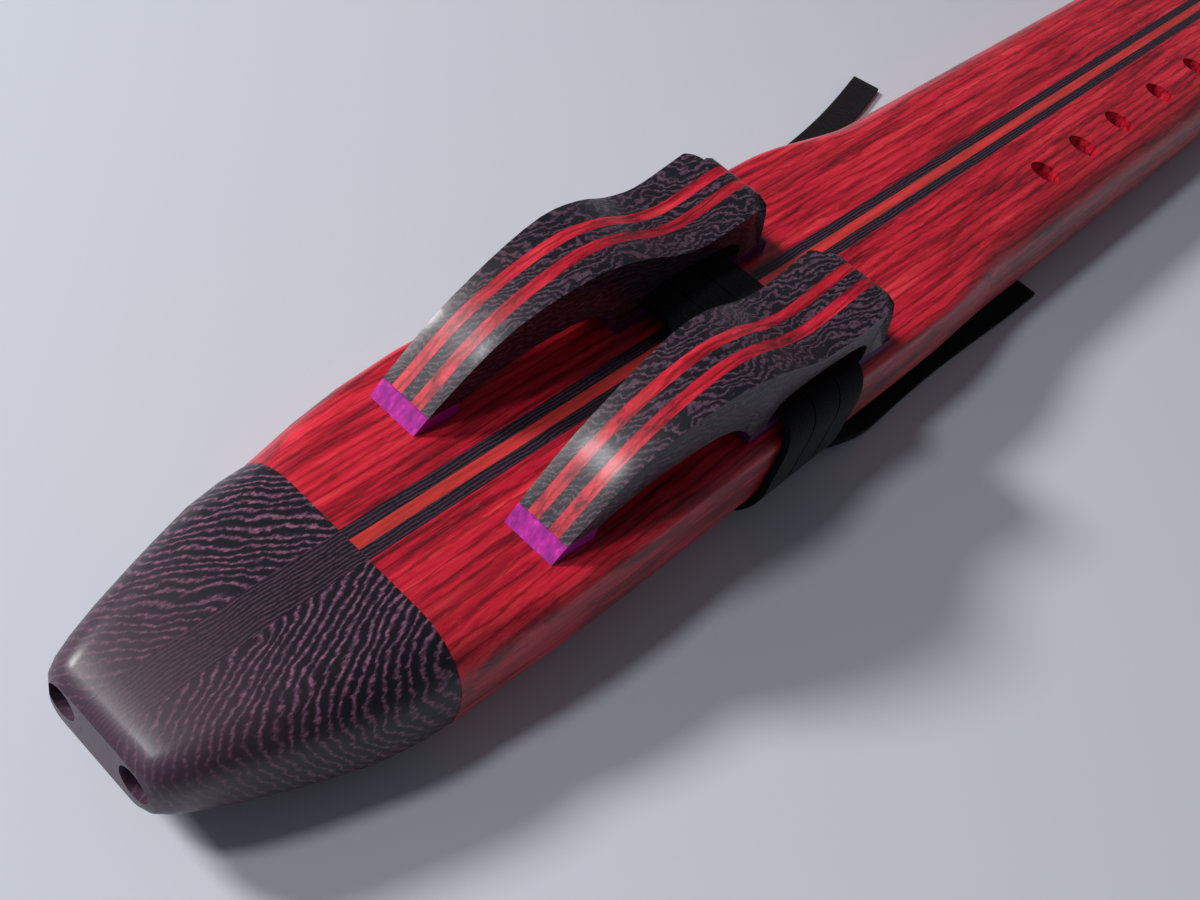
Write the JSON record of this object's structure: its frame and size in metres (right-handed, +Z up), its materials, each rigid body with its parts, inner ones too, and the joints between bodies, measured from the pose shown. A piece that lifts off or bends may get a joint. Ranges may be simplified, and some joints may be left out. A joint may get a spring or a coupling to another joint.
{
  "type": "double flute",
  "caption": "Double-bored wooden end-blown flute with finger holes on one tube, a plain drone tube, two sliding arched tuning blocks and a suede lace wound round them.",
  "frame": {"origin": "middle of the flute's length and width, on the table it lies on", "axes": "+X along the flute from the mouth end to the open foot, +Y towards the drone tube, +Z up through the blocks"},
  "size_m": [0.51, 0.0973, 0.0564],
  "materials": {
    "redheart": "satin lacquer",
    "wenge": "satin lacquer",
    "purpleheart": "satin lacquer",
    "suede": "matt black suede"
  },
  "bodies": {
    "flute": {"mouthpiece_left": "wenge", "mouthpiece_centre": "wenge", "mouthpiece_right": "wenge", "drone_tube": "redheart", "melody_tube": "redheart", "strip_dark_left": "wenge", "strip_red": "redheart", "strip_dark_right": "wenge", "lace_wrap": "suede", "lace_end_left": "suede", "lace_end_right": "suede"},
    "left_block": {"left_block_nose_pad": "purpleheart", "left_block_flue_plate": "purpleheart", "left_block_outer_left": "wenge", "left_block_red_left": "redheart", "left_block_middle": "wenge", "left_block_red_right": "redheart", "left_block_outer_right": "wenge"},
    "right_block": {"right_block_nose_pad": "purpleheart", "right_block_flue_plate": "purpleheart", "right_block_outer_left": "wenge", "right_block_red_left": "redheart", "right_block_middle": "wenge", "right_block_red_right": "redheart", "right_block_outer_right": "wenge"}
  },
  "joints": [
    {"name": "left_block_slide", "type": "slide", "parent": "flute", "child": "left_block", "axis": [1, 0, 0], "range_m": [-0.0025, 0.0025]},
    {"name": "right_block_slide", "type": "slide", "parent": "flute", "child": "right_block", "axis": [1, 0, 0], "range_m": [-0.0025, 0.0025]}
  ]
}
